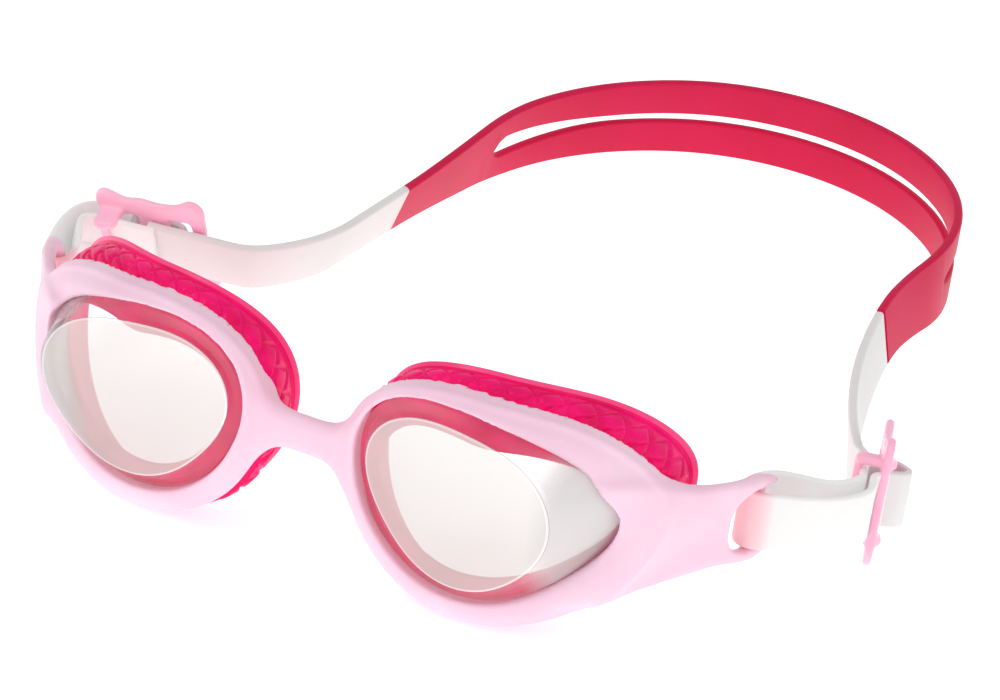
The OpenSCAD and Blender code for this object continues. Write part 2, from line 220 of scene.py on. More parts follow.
def moulded(name, light, dark, rough, grain=2500, bump=0.02, soft=0.0, coat=0.0, patch=60,
            glow=0.0, shine=0.5, scatter=(1, 0.5, 0.5)):
    """Moulded rubber or plastic: slow colour drift, fine surface grain and roughness changes. glow makes
    the surface give off its own colour as light: painted light, not a lamp.
    """
    m = bpy.data.materials.new(name)
    m.use_nodes = True
    nt = m.node_tree
    bsdf = nt.nodes["Principled BSDF"]
    coord = nt.nodes.new("ShaderNodeTexCoord")
    drift = nt.nodes.new("ShaderNodeTexNoise")
    drift.inputs["Scale"].default_value = patch
    drift.inputs["Detail"].default_value = 2
    ramp = nt.nodes.new("ShaderNodeValToRGB")
    ramp.color_ramp.elements[0].position, ramp.color_ramp.elements[1].position = 0.3, 0.72
    ramp.color_ramp.elements[0].color, ramp.color_ramp.elements[1].color = dark, light
    fine = nt.nodes.new("ShaderNodeTexNoise")
    fine.inputs["Scale"].default_value = grain
    fine.inputs["Detail"].default_value = 3
    rmap = nt.nodes.new("ShaderNodeMapRange")
    rmap.inputs["To Min"].default_value = rough - 0.05
    rmap.inputs["To Max"].default_value = rough + 0.07
    bmp = nt.nodes.new("ShaderNodeBump")
    bmp.inputs["Strength"].default_value = bump * 10
    bmp.inputs["Distance"].default_value = 0.0001
    link = nt.links.new
    link(coord.outputs["Object"], drift.inputs["Vector"])
    link(coord.outputs["Object"], fine.inputs["Vector"])
    link(drift.outputs["Fac"], ramp.inputs["Fac"])
    link(ramp.outputs["Color"], bsdf.inputs["Base Color"])
    link(fine.outputs["Fac"], rmap.inputs["Value"])
    link(rmap.outputs["Result"], bsdf.inputs["Roughness"])
    link(fine.outputs["Fac"], bmp.inputs["Height"])
    link(bmp.outputs["Normal"], bsdf.inputs["Normal"])
    bsdf.inputs["Subsurface Weight"].default_value = soft
    bsdf.inputs["Subsurface Radius"].default_value = scatter
    bsdf.inputs["Subsurface Scale"].default_value = 0.0015
    bsdf.inputs["Coat Weight"].default_value = coat
    bsdf.inputs["Coat Roughness"].default_value = 0.15
    bsdf.inputs["IOR"].default_value = 1.43
    link(ramp.outputs["Color"], bsdf.inputs["Emission Color"])
    bsdf.inputs["Emission Strength"].default_value = glow
    bsdf.inputs["Specular IOR Level"].default_value = shine
    return m


def ranged(nt, value, lo, hi, out_lo, out_hi):
    """A node that carries a value from one range to another."""
    node = nt.nodes.new("ShaderNodeMapRange")
    for key, number in zip(("From Min", "From Max", "To Min", "To Max"), (lo, hi, out_lo, out_hi)):
        node.inputs[key].default_value = number
    nt.links.new(value, node.inputs["Value"])
    return node.outputs["Result"]


def object_place(nt):
    """The place on the object, in metres, as outputs X, Y and Z."""
    place_in = nt.nodes.new("ShaderNodeTexCoord")
    split = nt.nodes.new("ShaderNodeSeparateXYZ")
    nt.links.new(place_in.outputs["Object"], split.inputs["Vector"])
    return split.outputs


def see_through(mat, face_on, edge_on, temple):
    """Sets how solid a material is where it faces the viewer and where it turns away, and how much
    more so at the temple end of a lens."""
    nt = mat.node_tree
    facing = nt.nodes.new("ShaderNodeLayerWeight")
    facing.inputs["Blend"].default_value = 0.3
    sideways = nt.nodes.new("ShaderNodeMath")
    sideways.operation = "ABSOLUTE"
    nt.links.new(object_place(nt)["X"], sideways.inputs[0])
    total = nt.nodes.new("ShaderNodeMath")
    nt.links.new(ranged(nt, facing.outputs["Facing"], 0, 1, face_on, edge_on), total.inputs[0])
    nt.links.new(ranged(nt, sideways.outputs[0], *TEMPLE_FADE, 0, temple), total.inputs[1])
    nt.links.new(total.outputs[0], nt.nodes["Principled BSDF"].inputs["Alpha"])


def shade_down(mat, lo, hi, low, high):
    """Scales a material's colour by low at height lo and below, and by high at hi, in metres."""
    nt = mat.node_tree
    bsdf = nt.nodes["Principled BSDF"]
    base = bsdf.inputs["Base Color"].links[0].from_socket
    tint = nt.nodes.new("ShaderNodeVectorMath")
    tint.operation = "SCALE"
    nt.links.new(base, tint.inputs[0])
    nt.links.new(ranged(nt, object_place(nt)["Z"], lo, hi, low, high), tint.inputs["Scale"])
    nt.links.new(tint.outputs["Vector"], bsdf.inputs["Base Color"])


def paint_post_reflection(mat, near, far, colour):
    """Paints the frame's pink, reflected in the rubber, where it goes round a post: a painted reflection,
    which the glow gives off as well.
    """
    nt = mat.node_tree
    bsdf = nt.nodes["Principled BSDF"]
    base = bsdf.inputs["Base Color"].links[0].from_socket
    place_in, fold_x, gap = (nt.nodes.new(kind) for kind in (
        "ShaderNodeTexCoord", "ShaderNodeVectorMath", "ShaderNodeVectorMath"))
    fold_x.operation, gap.operation = "ABSOLUTE", "DISTANCE"
    flat = nt.nodes.new("ShaderNodeVectorMath")
    flat.operation = "MULTIPLY"
    flat.inputs[1].default_value = (1, 1, 0)
    gap.inputs[1].default_value = (POST_X * MM, POST_Y * MM, 0)
    mix = nt.nodes.new("ShaderNodeMix")
    mix.data_type = "RGBA"
    nt.links.new(place_in.outputs["Object"], fold_x.inputs[0])
    nt.links.new(fold_x.outputs["Vector"], flat.inputs[0])
    nt.links.new(flat.outputs["Vector"], gap.inputs[0])
    nt.links.new(ranged(nt, gap.outputs["Value"], near, far, 1, 0), mix.inputs["Factor"])
    nt.links.new(base, mix.inputs[6])
    mix.inputs[7].default_value = colour
    nt.links.new(mix.outputs[2], bsdf.inputs["Base Color"])
    nt.links.new(mix.outputs[2], bsdf.inputs["Emission Color"])


PINK = moulded("pale_pink_rubber", srgb(253, 217, 234), srgb(250, 206, 226), 0.42, soft=0.25)
# gasket rubber; its glow is painted light that keeps the magenta bright where the lamps leave it dim
MAGENTA = moulded("magenta_rubber", srgb(240, 8, 112), srgb(214, 0, 88), 0.4, soft=0.05, coat=0.05,
                  patch=160, glow=0.22, shine=0.2)
# the gasket rubber again for the ring inside the rim, in a deeper colour and with a strong glow: painted
# light that lifts the ring out of the rim's shade
RING = moulded("magenta_ring", srgb(214, 0, 90), srgb(188, 0, 70), 0.4, patch=160, glow=0.5,
               shine=0.2)
BAND = moulded("magenta_strap_rubber", srgb(218, 8, 78), srgb(208, 0, 66), 0.45, soft=0.05, patch=40,
               shine=0.35)
WHITE = moulded("white_silicone", srgb(234, 234, 233), srgb(228, 228, 227), 0.38, soft=0.3, patch=40,
                scatter=(1, 1, 1))
# its glow is painted light that brightens the clip plastic
CLIP = moulded("pink_clip_plastic", srgb(255, 196, 218), srgb(254, 180, 208), 0.3, soft=0.25, coat=0.3,
               glow=0.1)
# the lens's front face drawn as a nearly solid pale grey sheet: a painted reflection of the bright
# surroundings on clear plastic
FACE_SHEEN = moulded("lens_face", srgb(228, 229, 224), srgb(222, 223, 219), 0.12, grain=1200, bump=0.002,
                patch=30)
# the clear walls drawn as a faint grey sheet: painted reflection on clear plastic
CLEAR = moulded("clear_lens", srgb(218, 218, 217), srgb(206, 207, 206), 0.1, grain=1200, bump=0.002,
                patch=30)
# near-white band on the rounded edge of the front face: a painted highlight
EDGE_HIGHLIGHT = moulded("lens_edge", srgb(250, 250, 250), srgb(242, 243, 243), 0.1, grain=1200, patch=30)
# darker greyish-pink line just outside that edge: painted shade where the clear edge turns
EDGE_SHADE_LINE = moulded("lens_edge_line", srgb(176, 150, 156), srgb(160, 136, 142), 0.15, grain=1200,
                    patch=30)
# a copy of the white silicone for the loops, with a glow that is painted light lifting the loops out of
# their shade, and a painted pink reflection near the posts, set below
LOOP_LIT = moulded("white_silicone_loop", srgb(234, 234, 233), srgb(228, 228, 227), 0.38, soft=0.3,
                 patch=40, glow=0.14, scatter=(1, 1, 1))
# paler, glowing copy of the gasket rubber for its inner wall: painted light standing in for light through
# the rubber and lifting the wall out of the lens's shadow
INNER = moulded("pale_gasket_wall", srgb(242, 112, 150), srgb(234, 96, 138), 0.4, soft=0.2, patch=80,
                glow=0.2)
# paler pink for the thin lip, and a glow that is painted light shining through it
LIP = moulded("gasket_lip_rubber", srgb(246, 84, 144), srgb(238, 58, 124), 0.35, soft=0.3, glow=0.15)
# painted reflection: the lenses are drawn as grey sheets, more solid where they turn from view and, on
# the clear walls, at the temple end
see_through(FACE_SHEEN, 0.6, 0.9, 0.05)
see_through(CLEAR, 0.05, 0.3, 0.42)
see_through(EDGE_HIGHLIGHT, 0.7, 0.85, 0)
see_through(EDGE_SHADE_LINE, 0.5, 0.7, 0)
# painted shade: the lens face is darker towards its bottom, the reflected light from above fading
# downwards
shade_down(FACE_SHEEN, -0.016, 0.016, 0.84, 1.0)
# painted reflection of the pink post and slot on the white loops
paint_post_reflection(LOOP_LIT, 0.0015, 0.0046, srgb(240, 150, 168))


# ---- outlines round a lens ----------------------------------------------------------------
def egg(t, a, b, lean, c3, s3):
    """Distance to a leaning ellipse at angle t, with a three-cornered change of shape."""
    c, s = np.cos(t), np.sin(t)
    return (1 + c3 * np.cos(3 * t) + s3 * np.sin(3 * t)) / np.sqrt(
        (c / a) ** 2 + (s / b) ** 2 - 2 * lean * c * s / (a * b))


def front_r(t):
    """Outline of the lens's front face."""
    return egg(t, FRONT_HALF_W, FRONT_HALF_H, -0.05, 0.01, 0.06)


def corner(t):
    """1 at the temple corner, falling off quickly to either side."""
    return np.maximum(0, np.cos(t + math.radians(2))) ** 12


def opening_r(t):
    """Outline of the opening in the frame."""
    return egg(t, OPENING_HALF_W, OPENING_HALF_H, -0.12, 0.03, 0.02) + 2.7 * corner(t)


def opening_w(u, v):
    """How far forward the opening's edge is, on a bowed surface that falls to the temple."""
    return 7.3 - 0.26 * u - (0.63 * u * u + 0.48 * v * v + 0.16 * u * v) / 20


def side(t):
    """1 at the temple, 0 from the top round by the nose to the bottom."""
    return np.maximum(0, np.cos(t)) ** 2


def brow(t):
    """1 at the upper nose side."""
    return np.maximum(0, np.cos(t - math.radians(130))) ** 4


def rim_out(t):
    """Width of the rim outside the opening."""
    return 3.9 - 1.5 * np.sin(t) + 3.4 * side(t) - 0.9 * brow(t) - 1.6 * corner(t)


def rim_drop(t):
    """How far the rim falls back over that width."""
    return 3.8 + 1.2 * np.sin(t) + 3.4 * side(t) - 1.2 * brow(t) - 1.6 * corner(t)


def place(u, v, w):
    """A place on the left lens, u to the temple, v up and w forward, in the object's frame."""
    ct, st = math.cos(LENS_TOE), math.sin(LENS_TOE)
    return np.stack([LENS_PITCH / 2 + u * ct - w * st, -LENS_STAND - u * st - w * ct, v + 0 * u], -1)


def rim_pt(t, dr, dw):
    """A place dr outside the opening's edge and dw in front of it."""
    r = opening_r(t)
    w = opening_w(r * np.cos(t), r * np.sin(t)) + dw
    return place((r + dr) * np.cos(t), (r + dr) * np.sin(t) - OPENING_DROP, w)


def front_pt(t, dr, w):
    """A place dr outside the front face's outline, at depth w."""
    r = front_r(t) + dr
    return place(r * np.cos(t), r * np.sin(t), w + 0 * t)


def both_sides(name, verts, faces, mat, body, node, angle=None, extra=()):
    """The wearer's left piece and its mirror image."""
    for label, flip in (("left", 1), ("right", -1)):
        pts = np.array(verts) * [flip, 1, 1]
        ob = mesh_object(f"{label}_{name}", pts, faces if flip > 0 else [f[::-1] for f in faces],
                         mat, angle, extra)
        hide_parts(f"{label}_{node}")
        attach(ob, body)


def grid_faces(rows, cols, wrap_rows=False):
    """Faces between closed rings of points, and from the last ring to the first with wrap_rows."""
    out = []
    for i in range(rows if wrap_rows else rows - 1):
        for j in range(cols):
            a, b = i * cols + j, i * cols + (j + 1) % cols
            k = (i + 1) % rows
            out.append([a, b, k * cols + (j + 1) % cols, k * cols + j])
    return out


# ---- frame --------------------------------------------------------------------------------
ARM_X, ARM_SLOPE, ARM_BEND = 46.08, 1.0139, 0.00868
BEAD_R, BEAD_IN = 0.85, 0.75
ARM_TOP = eased([2, 14, 22, 29, 34, 37.4, 39], [8, 4.2, 1.8, 0.8, 0.6, -0.6, -2.4], 1.1)
ARM_BOTTOM = eased([2, 9, 18, 27, 34, 37.4, 39], [-15, -17.4, -16.4, -16, -17.4, -16.2, -14.4], 1.1)


def arm_field(x, y, z):
    """The temple arm: a plate along a parabola in plan, set 1 mm further out at its end."""
    centre = ARM_X + ARM_SLOPE * y - ARM_BEND * y * y + 1.0 * step01((y - 22) / 10)
    slope = ARM_SLOPE - 2 * ARM_BEND * y
    off = (x - centre) / np.sqrt(1 + slope * slope)
    half = 1.3 + 0.9 * step01((14 - y) / 12)
    d = smax(np.abs(off) - half, z - ARM_TOP(y), 1.4)
    d = smax(d, ARM_BOTTOM(y) - z, 1.4)
    return smax(smax(d, y - 38.9, 1.4), 5 - y, 1.4)


def slot_field(y, z):
    """The strap's slot, rounded in front and open through the arm's end. The post crosses it."""
    dz = np.abs(z - STRAP_Z)
    round_end = np.hypot(np.minimum(y - (POST_Y - 1.6), 0), dz) - SLOT_H / 2
    return smax(round_end, (POST_Y - 7.2) - y, 1.6)


def rim_field(x, y, z):
    """The rim round the left lens with the bead on its outer edge, and how far outside the
    opening each place is."""
    ct, st = math.cos(LENS_TOE), math.sin(LENS_TOE)
    dx, dy = x - LENS_PITCH / 2, y + LENS_STAND
    u, w = dx * ct - dy * st, -dx * st - dy * ct
    t = np.arctan2(z + OPENING_DROP, u)
    r = opening_r(t)
    dr = np.hypot(u, z + OPENING_DROP) - r
    dw = w - opening_w(r * np.cos(t), r * np.sin(t))
    out, drop = rim_out(t), rim_drop(t)
    q = np.clip(dr / out, 0, 1.3)
    top = -drop * q ** 2.2
    slope = 2.2 * drop * q ** 1.2 / out
    over = (dw - top) / np.sqrt(1 + slope * slope)
    fall = 1.1 * drop / out
    under = (-RIM_THICK - 0.95 * drop * q ** 1.2 - dw) / np.sqrt(1 + fall * fall)
    d = smax(over, dr - out, np.minimum(1.0, 0.4 * out))
    d = smax(d, under, 0.5)
    bead_at = out - BEAD_IN
    bead = np.hypot(dr - bead_at, dw + drop * (bead_at / out) ** 2.2 + BEAD_R) - BEAD_R
    return smax(smin(d, bead, 0.4), -dr, 0.5), dr


def bridge_field(x, y, z):
    """The nose bridge, which widens towards the rims."""
    grow = np.clip((x - 2) / 7, 0, 1.4) ** 2
    half = BRIDGE_THICK / 2
    d = smax(np.abs(z + 0.2 * grow) - BRIDGE_H / 2 - 2.4 * grow,
             np.abs(y - half) - half - 0.3 * grow, 2.6)
    return smax(d, x - 11.5, 1.0)


def frame_field(x, y, z):
    x = np.abs(x)
    rim, dr = rim_field(x, y, z)
    d = smin(rim, bridge_field(x, y, z), 3.2)
    d = smax(smin(d, arm_field(x, y, z), 3.6), -dr, 0.5)
    d = smax(d, -slot_field(y, z) + 0 * x, 0.8)
    post = smax(np.hypot(x - POST_X, y - POST_Y) - POST_R, np.abs(z - STRAP_Z) - SLOT_H / 2 - 0.8, 0.3)
    return smin(d, post, 0.7)


verts, faces = nets(frame_field, (-75, -14, -27), (75, 41, 25),
                    FRAME_GRID, FRAME_RELAX)
shell = mesh_object("frame_shell", verts, faces, PINK)
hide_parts("front_frame")
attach(shell, "goggles")

# ---- lenses -------------------------------------------------------------------------------
t = np.linspace(0, TAU, LENS_POINTS, endpoint=False)
n = len(t)
# the front face with its rounded edge, the skirt back to the opening, the foot behind the rim, and
# the inside forward again to the back of the face
rows = [front_pt(t, -1.2, 0), front_pt(t, -0.35, 0), front_pt(t, -0.1, -0.05), front_pt(t, 0.02, -0.16),
        front_pt(t, 0.1, -0.34), front_pt(t, 0.7, -0.9)]
skirt_out, skirt_top = rim_pt(t, -0.15, -0.5), front_pt(t, 0.7, -0.9)
rows += [skirt_top + (skirt_out - skirt_top) * k for k in (0.25, 0.5, 0.75, 0.95)]
rows += [rim_pt(t, -0.15, -0.8), rim_pt(t, -0.15, -2.4), rim_pt(t, -1.45, -2.4)]
inner_top, inner_low = front_pt(t, -0.4, -1.9), rim_pt(t, -1.45, -1.9)
rows += [inner_low + (inner_top - inner_low) * k for k in (0, 0.33, 0.66, 1)]
rows += [front_pt(t, -0.9, -LENS_WALL)]
lens_faces = grid_faces(len(rows), n)
last = (len(rows) - 1) * n
lens_faces += [list(range(n))[::-1], [last + j for j in range(n)]]
# the front face takes the painted sheen, its rounded edge the painted highlight and the row beyond it the
# painted shade line
both_sides("lens_clear", np.concatenate(rows), [f[::-1] for f in lens_faces], CLEAR, "goggles",
           "lens", 40,
           extra=((FACE_SHEEN, 0, n), (EDGE_HIGHLIGHT, n, 3 * n), (EDGE_SHADE_LINE, 3 * n, 4 * n),
                  (FACE_SHEEN, len(lens_faces) - 2, len(lens_faces) - 1)))

# ---- gaskets ------------------------------------------------------------------------------
t = np.linspace(0, TAU, GASKET_POINTS, endpoint=False)
n = len(t)
mid = rim_pt(t, 0, 0)
arc = np.concatenate([[0], np.cumsum(np.linalg.norm(np.diff(mid, axis=0), axis=1))])
phase = arc / (arc[-1] + np.linalg.norm(mid[0] - mid[-1])) * DIAMONDS
# the wall's line outside the opening: inside the rim's edge, most of all at the temple, and standing
# out below and at the lower nose side
out = rim_out(t) - 0.85 - 1.4 * side(t) + 0.5 * np.maximum(0, -np.sin(t)) ** 2
out += 1.7 * np.maximum(0, np.cos(t + math.radians(148))) ** 4 - 0.4 * brow(t)
back = -rim_drop(t) - RIM_THICK + 0.5
towards = np.maximum(0, np.cos(t - math.radians(35))) ** 2
depth = GASKET_DEPTH + SIDE_DEPTH * np.cos(t) ** 2 + 1.1 * towards - 0.8 * brow(t)
rows = []
for k in np.linspace(0, 1, 34):
    # grooves in the wall that cross into diamonds and fade out at its two edges
    a, b = (phase + DIAMOND_SLANT * k) % 1, (phase - DIAMOND_SLANT * k) % 1
    groove = np.minimum(np.minimum(a, 1 - a), np.minimum(b, 1 - b))
    relief = -0.55 * np.exp(-(groove / 0.09) ** 2) * step01(k / 0.1) * step01((0.92 - k) / 0.12)
    bulge = (0.9 + 0.4 * towards) * math.sin(math.pi * min(1, k * 1.05)) ** 0.8 * step01(
        (k - 0.05) / 0.2)
    rows.append(rim_pt(t, out + bulge + relief, back - (0.84 * k) * depth))
wall_rows = len(rows)
for dr, f in ((0.35, 0.88), (0.8, 0.93), (0.9, 0.97), (0.5, 1.0), (-0.4, 1.01), (-1.2, 0.98)):
    rows.append(rim_pt(t, out + dr, back - f * depth))
lip_rows = len(rows)
for dr, f in ((-1.6, 0.93), (-1.7, 0.85)):
    rows.append(rim_pt(t, out + dr, back - f * depth))
for k in np.linspace(0.8, 0, 8):
    rows.append(rim_pt(t, out - GASKET_WALL + 0.6 * math.sin(math.pi * k), back - k * depth))
inner_rows = len(rows)
# the same rubber shows as a ring inside the rim, behind the lens's edge: widest at the top, wide at
# the bottom and the nose, narrow at the temple
shelf = 1.0 + 2.0 * np.abs(np.sin(t)) ** 1.5 - 0.6 * side(t) + 2.8 * np.maximum(0, np.sin(t))
shelf += 1.5 * np.maximum(0, -np.cos(t)) ** 2
for dr, dw in ((-0.1, -3.4), (-0.1, -2.6), (-0.6, -2.5)):
    rows.append(rim_pt(t, dr + 0 * t, dw))
rows.append(rim_pt(t, -0.8 - shelf, -2.55))
rows.append(rim_pt(t, -0.9 - shelf, -2.9))
rows.append(rim_pt(t, -0.8 - shelf, -3.4))
gasket_faces = grid_faces(len(rows), n, wrap_rows=True)
# the lip and the inner wall take paler rubber with painted glow, and the ring inside the rim a deeper
# copy with painted glow
both_sides("gasket_soft", np.concatenate(rows), [f[::-1] for f in gasket_faces], MAGENTA, "goggles",
           "gasket", 60, extra=((LIP, wall_rows * n, lip_rows * n), (INNER, lip_rows * n, inner_rows * n),
                                (RING, inner_rows * n, len(rows) * n)))


# ---- strap --------------------------------------------------------------------------------
def fine_run(sub=4):
    """The strap's line in plan, sub points to a station, with their stations and the last heading."""
    pts, stations, h = [np.array(START, float)], [0.0], HEADING
    for length, turn in RUN:
        n = math.ceil(length / STEP) * sub
        for _ in range(n):
            h += turn / n / 2
            a = math.radians(h)
            pts.append(pts[-1] + length / n * np.array([math.cos(a), math.sin(a)]))
            stations.append(stations[-1] + 1 / sub)
            h += turn / n / 2
    return np.array(pts), np.array(stations), h


PATH, STATION, END_HEADING = fine_run()
LAST = STATION[-1]
LEFT_JOIN = LAST + 1 - LEFT_JOIN_BACK


def run_lean(i):
    """The strap's lean at a station, in degrees."""
    return START_LEAN * (1 - step01(i / (0.75 * (LAST + 1)))) + JOIN_LEAN * step01(
        (i - LEFT_JOIN + 10) / 9) * (1 - step01((i - LEFT_JOIN - 3) / 8))


def run_drop(i):
    """How far the strap is below its level at a station."""
    left = LAST - i
    return np.where(left < DIP_STRAIGHT, DIP * left / DIP_STRAIGHT,
                    DIP * (1 - step01((left - DIP_STRAIGHT) / DIP_BLEND)))


def band_h(i):
    """Half the strap's height at a station."""
    grown = step01((i - RIGHT_JOIN) / 12) * step01((LEFT_JOIN - i) / 12)
    return STRAP_H / 2 + (STRAP_BACK_H - STRAP_H) / 2 * grown


def normals(p):
    """Unit directions to the left of a plan line at each of its points."""
    d = np.gradient(p, axis=0)
    n = np.stack([-d[:, 1], d[:, 0]], 1)
    return n / np.linalg.norm(n, axis=1)[:, None]


def across(p, nrm, lean, drop, n, h):
    """Points of one section: n along the strap's thickness, h up its height."""
    c, s = math.cos(math.radians(lean)), math.sin(math.radians(lean))
    side_off = n * c + h * s
    return np.stack([p[0] + nrm[0] * side_off, p[1] + nrm[1] * side_off,
                     STRAP_Z - drop + h * c - n * s], 1)


def rounded(h0, h1, r0, r1, t=STRAP_T, seg=CORNER_SEG):
    """Rounded oblong section from h0 up to h1, as (n, h) points."""
    pts = []
    for cn, ch, r, a0 in ((-t / 2, h0, r0, 180), (t / 2, h0, r0, 270),
                          (t / 2, h1, r1, 0), (-t / 2, h1, r1, 90)):
        r = max(r, 1e-4)
        sn, sh = (1 if cn < 0 else -1), (1 if ch == h0 else -1)
        for k in range(seg + 1):
            a = math.radians(a0 + 90 * k / seg)
            pts.append((cn + sn * r + r * math.cos(a), ch + sh * r + r * math.sin(a)))
    return np.array(pts)


def sweep(path, leans, drops, sections, skip=None):
    """A closed skin over sections set along a plan line. skip(ring, side) leaves a face out."""
    nrm = normals(path)
    rings = [across(path[i], nrm[i], leans[i], drops[i], sections[i][:, 0], sections[i][:, 1])
             for i in range(len(path))]
    m, n = len(rings[0]), len(rings)
    faces = [f for k, f in enumerate(grid_faces(n, m)) if not (skip and skip(k // m, k % m))]
    faces += [list(range(m))[::-1], [(n - 1) * m + j for j in range(m)]]
    return np.concatenate(rings), faces


# magenta band with its long slit
sel = (STATION >= RIGHT_JOIN - 1e-6) & (STATION <= LEFT_JOIN + 1e-6)
st = STATION[sel]
SLIT_A, SLIT_B = RIGHT_JOIN + 9.25, LEFT_JOIN - 7


def slit(i):
    """Half the height of the slit at a station."""
    ends = np.sqrt(np.clip((i - SLIT_A) / 0.8, 0, 1)) * np.sqrt(np.clip((SLIT_B - i) / 2.0, 0, 1))
    wide = 1.0 + 1.7 * (1 - step01((i - SLIT_A) / 9)) + 0.9 * (1 - step01((SLIT_B - i) / 9))
    return ends * wide


verts, faces = [], []
for up in (1, -1):
    secs = []
    for i in st:
        g, h = float(slit(i)), float(band_h(i))
        s = rounded(g, h, min(STRAP_EDGE, g), STRAP_EDGE)
        secs.append(s if up > 0 else (s * [1, -1])[::-1])
    # where the slit is closed the two bands are one, with no face between them
    shut = slit(st) < 1e-6
    seam = CORNER_SEG if up > 0 else 3 * CORNER_SEG + 2
    v, f = sweep(PATH[sel], run_lean(st), run_drop(st), secs,
                 skip=lambda k, j: j == seam and shut[k] and shut[k + 1])
    f = [[j + len(verts) for j in q] for q in f]
    verts += v.tolist()
    faces += f
band = mesh_object("strap_band", verts, faces, BAND, 50, weld=True)
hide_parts("strap_back")


def bezier(a, b, c, d, n):
    """Points along a cubic curve."""
    k = np.linspace(0, 1, n + 1)[:, None]
    s = 1 - k
    return a * s ** 3 + b * 3 * s * s * k + c * 3 * s * k * k + d * k ** 3


def unit(deg):
    """The plan direction at a heading in degrees."""
    return np.array([math.cos(math.radians(deg)), math.sin(math.radians(deg))])


RIGHT_NEAR = np.array(START) - unit(HEADING) * (BUCKLE_L + 1)
LEFT_NEAR = PATH[-1]
PITCH = math.atan(DIP / (DIP_STRAIGHT * STEP))
HEAD, TAIL = unit(HEADING), -unit(END_HEADING)
LEAN = math.radians(START_LEAN)
HALF = BUCKLE_L / 2
LEFT_ALONG = END_HEADING + 180 - LEFT_SKEW


def beside(along, off):
    """A plan offset to the left of a direction: outwards along the strap's run, inwards against it."""
    return off * np.array([-along[1], along[0]])


# each buckle: its middle in plan, the direction along it, and the direction to its outer side
SITES = {
    "right": (RIGHT_NEAR + HEAD * HALF + beside(HEAD, LAYER_OFF * math.cos(LEAN)), HEAD,
              beside(HEAD, math.cos(LEAN))),
    "left": (LEFT_NEAR + TAIL * HALF - beside(TAIL, LAYER_OFF - TUCK),
             unit(LEFT_ALONG) * math.cos(PITCH), -beside(unit(LEFT_ALONG), 1)),
}


def local(label, x, y):
    """The plan of a place x along a buckle and y to its outer side."""
    at, along, outward = SITES[label]
    return at + along * x + outward * y


def local_drop(label, x):
    """How far below the strap's level a place in a buckle is."""
    return (x + HALF) * math.sin(PITCH) if label == "left" else 0


def loop(label, post, away, turn, spread, flare, reach):
    """Strap from the buckle's near window round the post and back under the inner bar: the plan,
    with the drop and the share of the buckle's lean at each point. spread and flare are the angles
    each leg opens by at the post and at the buckle, outer leg first; reach is how far they hold."""
    near = [(-6.0, 0.6), (-7.6, -0.3), (-9.4, -1.5), (-11.5, -1.95)]
    far = [(-11.5, -3.55), (-8.5, -3.65), (-4, -3.7), (0.6, -3.7)]
    first = np.array([local(label, x, y) for x, y in near])
    last = np.array([local(label, x, y) for x, y in far])
    along, outward = (v / np.linalg.norm(v) for v in SITES[label][1:])
    ends = away + turn * (90 + spread[0]), away + turn * (270 - spread[1])
    leave = [-along * math.cos(math.radians(f)) + sign * outward * math.sin(math.radians(f))
             for f, sign in zip(flare, (1, -1))]
    arc = np.array([post + WRAP_R * unit(k) for k in np.linspace(*ends, ARC_POINTS)])
    out_leg = bezier(first[-1], first[-1] + reach[0] * leave[0],
                     arc[0] + reach[0] * unit(ends[0] - turn * 90), arc[0], LEG_POINTS)[1:-1]
    in_leg = bezier(arc[-1], arc[-1] + reach[1] * unit(ends[1] + turn * 90),
                    last[0] + reach[1] * leave[1], last[0], LEG_POINTS)[1:-1]
    pts = np.concatenate([first, out_leg, arc, in_leg, last])
    legs = len(out_leg), len(in_leg)
    share = np.concatenate([np.ones(len(near)), 1 - np.linspace(0, 1, legs[0]), np.zeros(ARC_POINTS),
                            np.linspace(0, 1, legs[1]), np.ones(len(far))])
    drop = np.concatenate([[local_drop(label, x) for x, _ in near],
                           np.zeros(legs[0] + ARC_POINTS + legs[1]),
                           [local_drop(label, x) for x, _ in far]])
    return pts, share, drop


def even(points, spacing=0.5):
    """Rows of numbers resampled evenly along their first two columns, corners eased."""
    s = np.concatenate([[0], np.cumsum(np.linalg.norm(np.diff(points[:, :2], axis=0), axis=1))])
    u = np.linspace(0, s[-1], int(s[-1] / spacing) + 2)
    rows = np.stack([np.interp(u, s, points[:, k]) for k in range(points.shape[1])], 1)
    for _ in range(3):
        rows[1:-1] = 0.25 * rows[:-2] + 0.5 * rows[1:-1] + 0.25 * rows[2:]
    return rows


OBLONG = rounded(-STRAP_H / 2, STRAP_H / 2, STRAP_EDGE, STRAP_EDGE)
THIN = rounded(-STRAP_H / 2 + 0.1, STRAP_H / 2 - 0.1, THIN_EDGE, THIN_EDGE, t=THIN_T)
POSTS = {"right": np.array([-POST_X, POST_Y]), "left": np.array([POST_X, POST_Y])}


def strap_piece(name, plan, leans, drops, section, spacing=0.5, mat=WHITE):
    """A length of strap with the same section all along."""
    rows = even(np.column_stack([plan, leans, drops]), spacing)
    v, f = sweep(rows[:, :2], rows[:, 2], rows[:, 3], [section] * len(rows))
    return mesh_object(name, v, f, mat, 50)


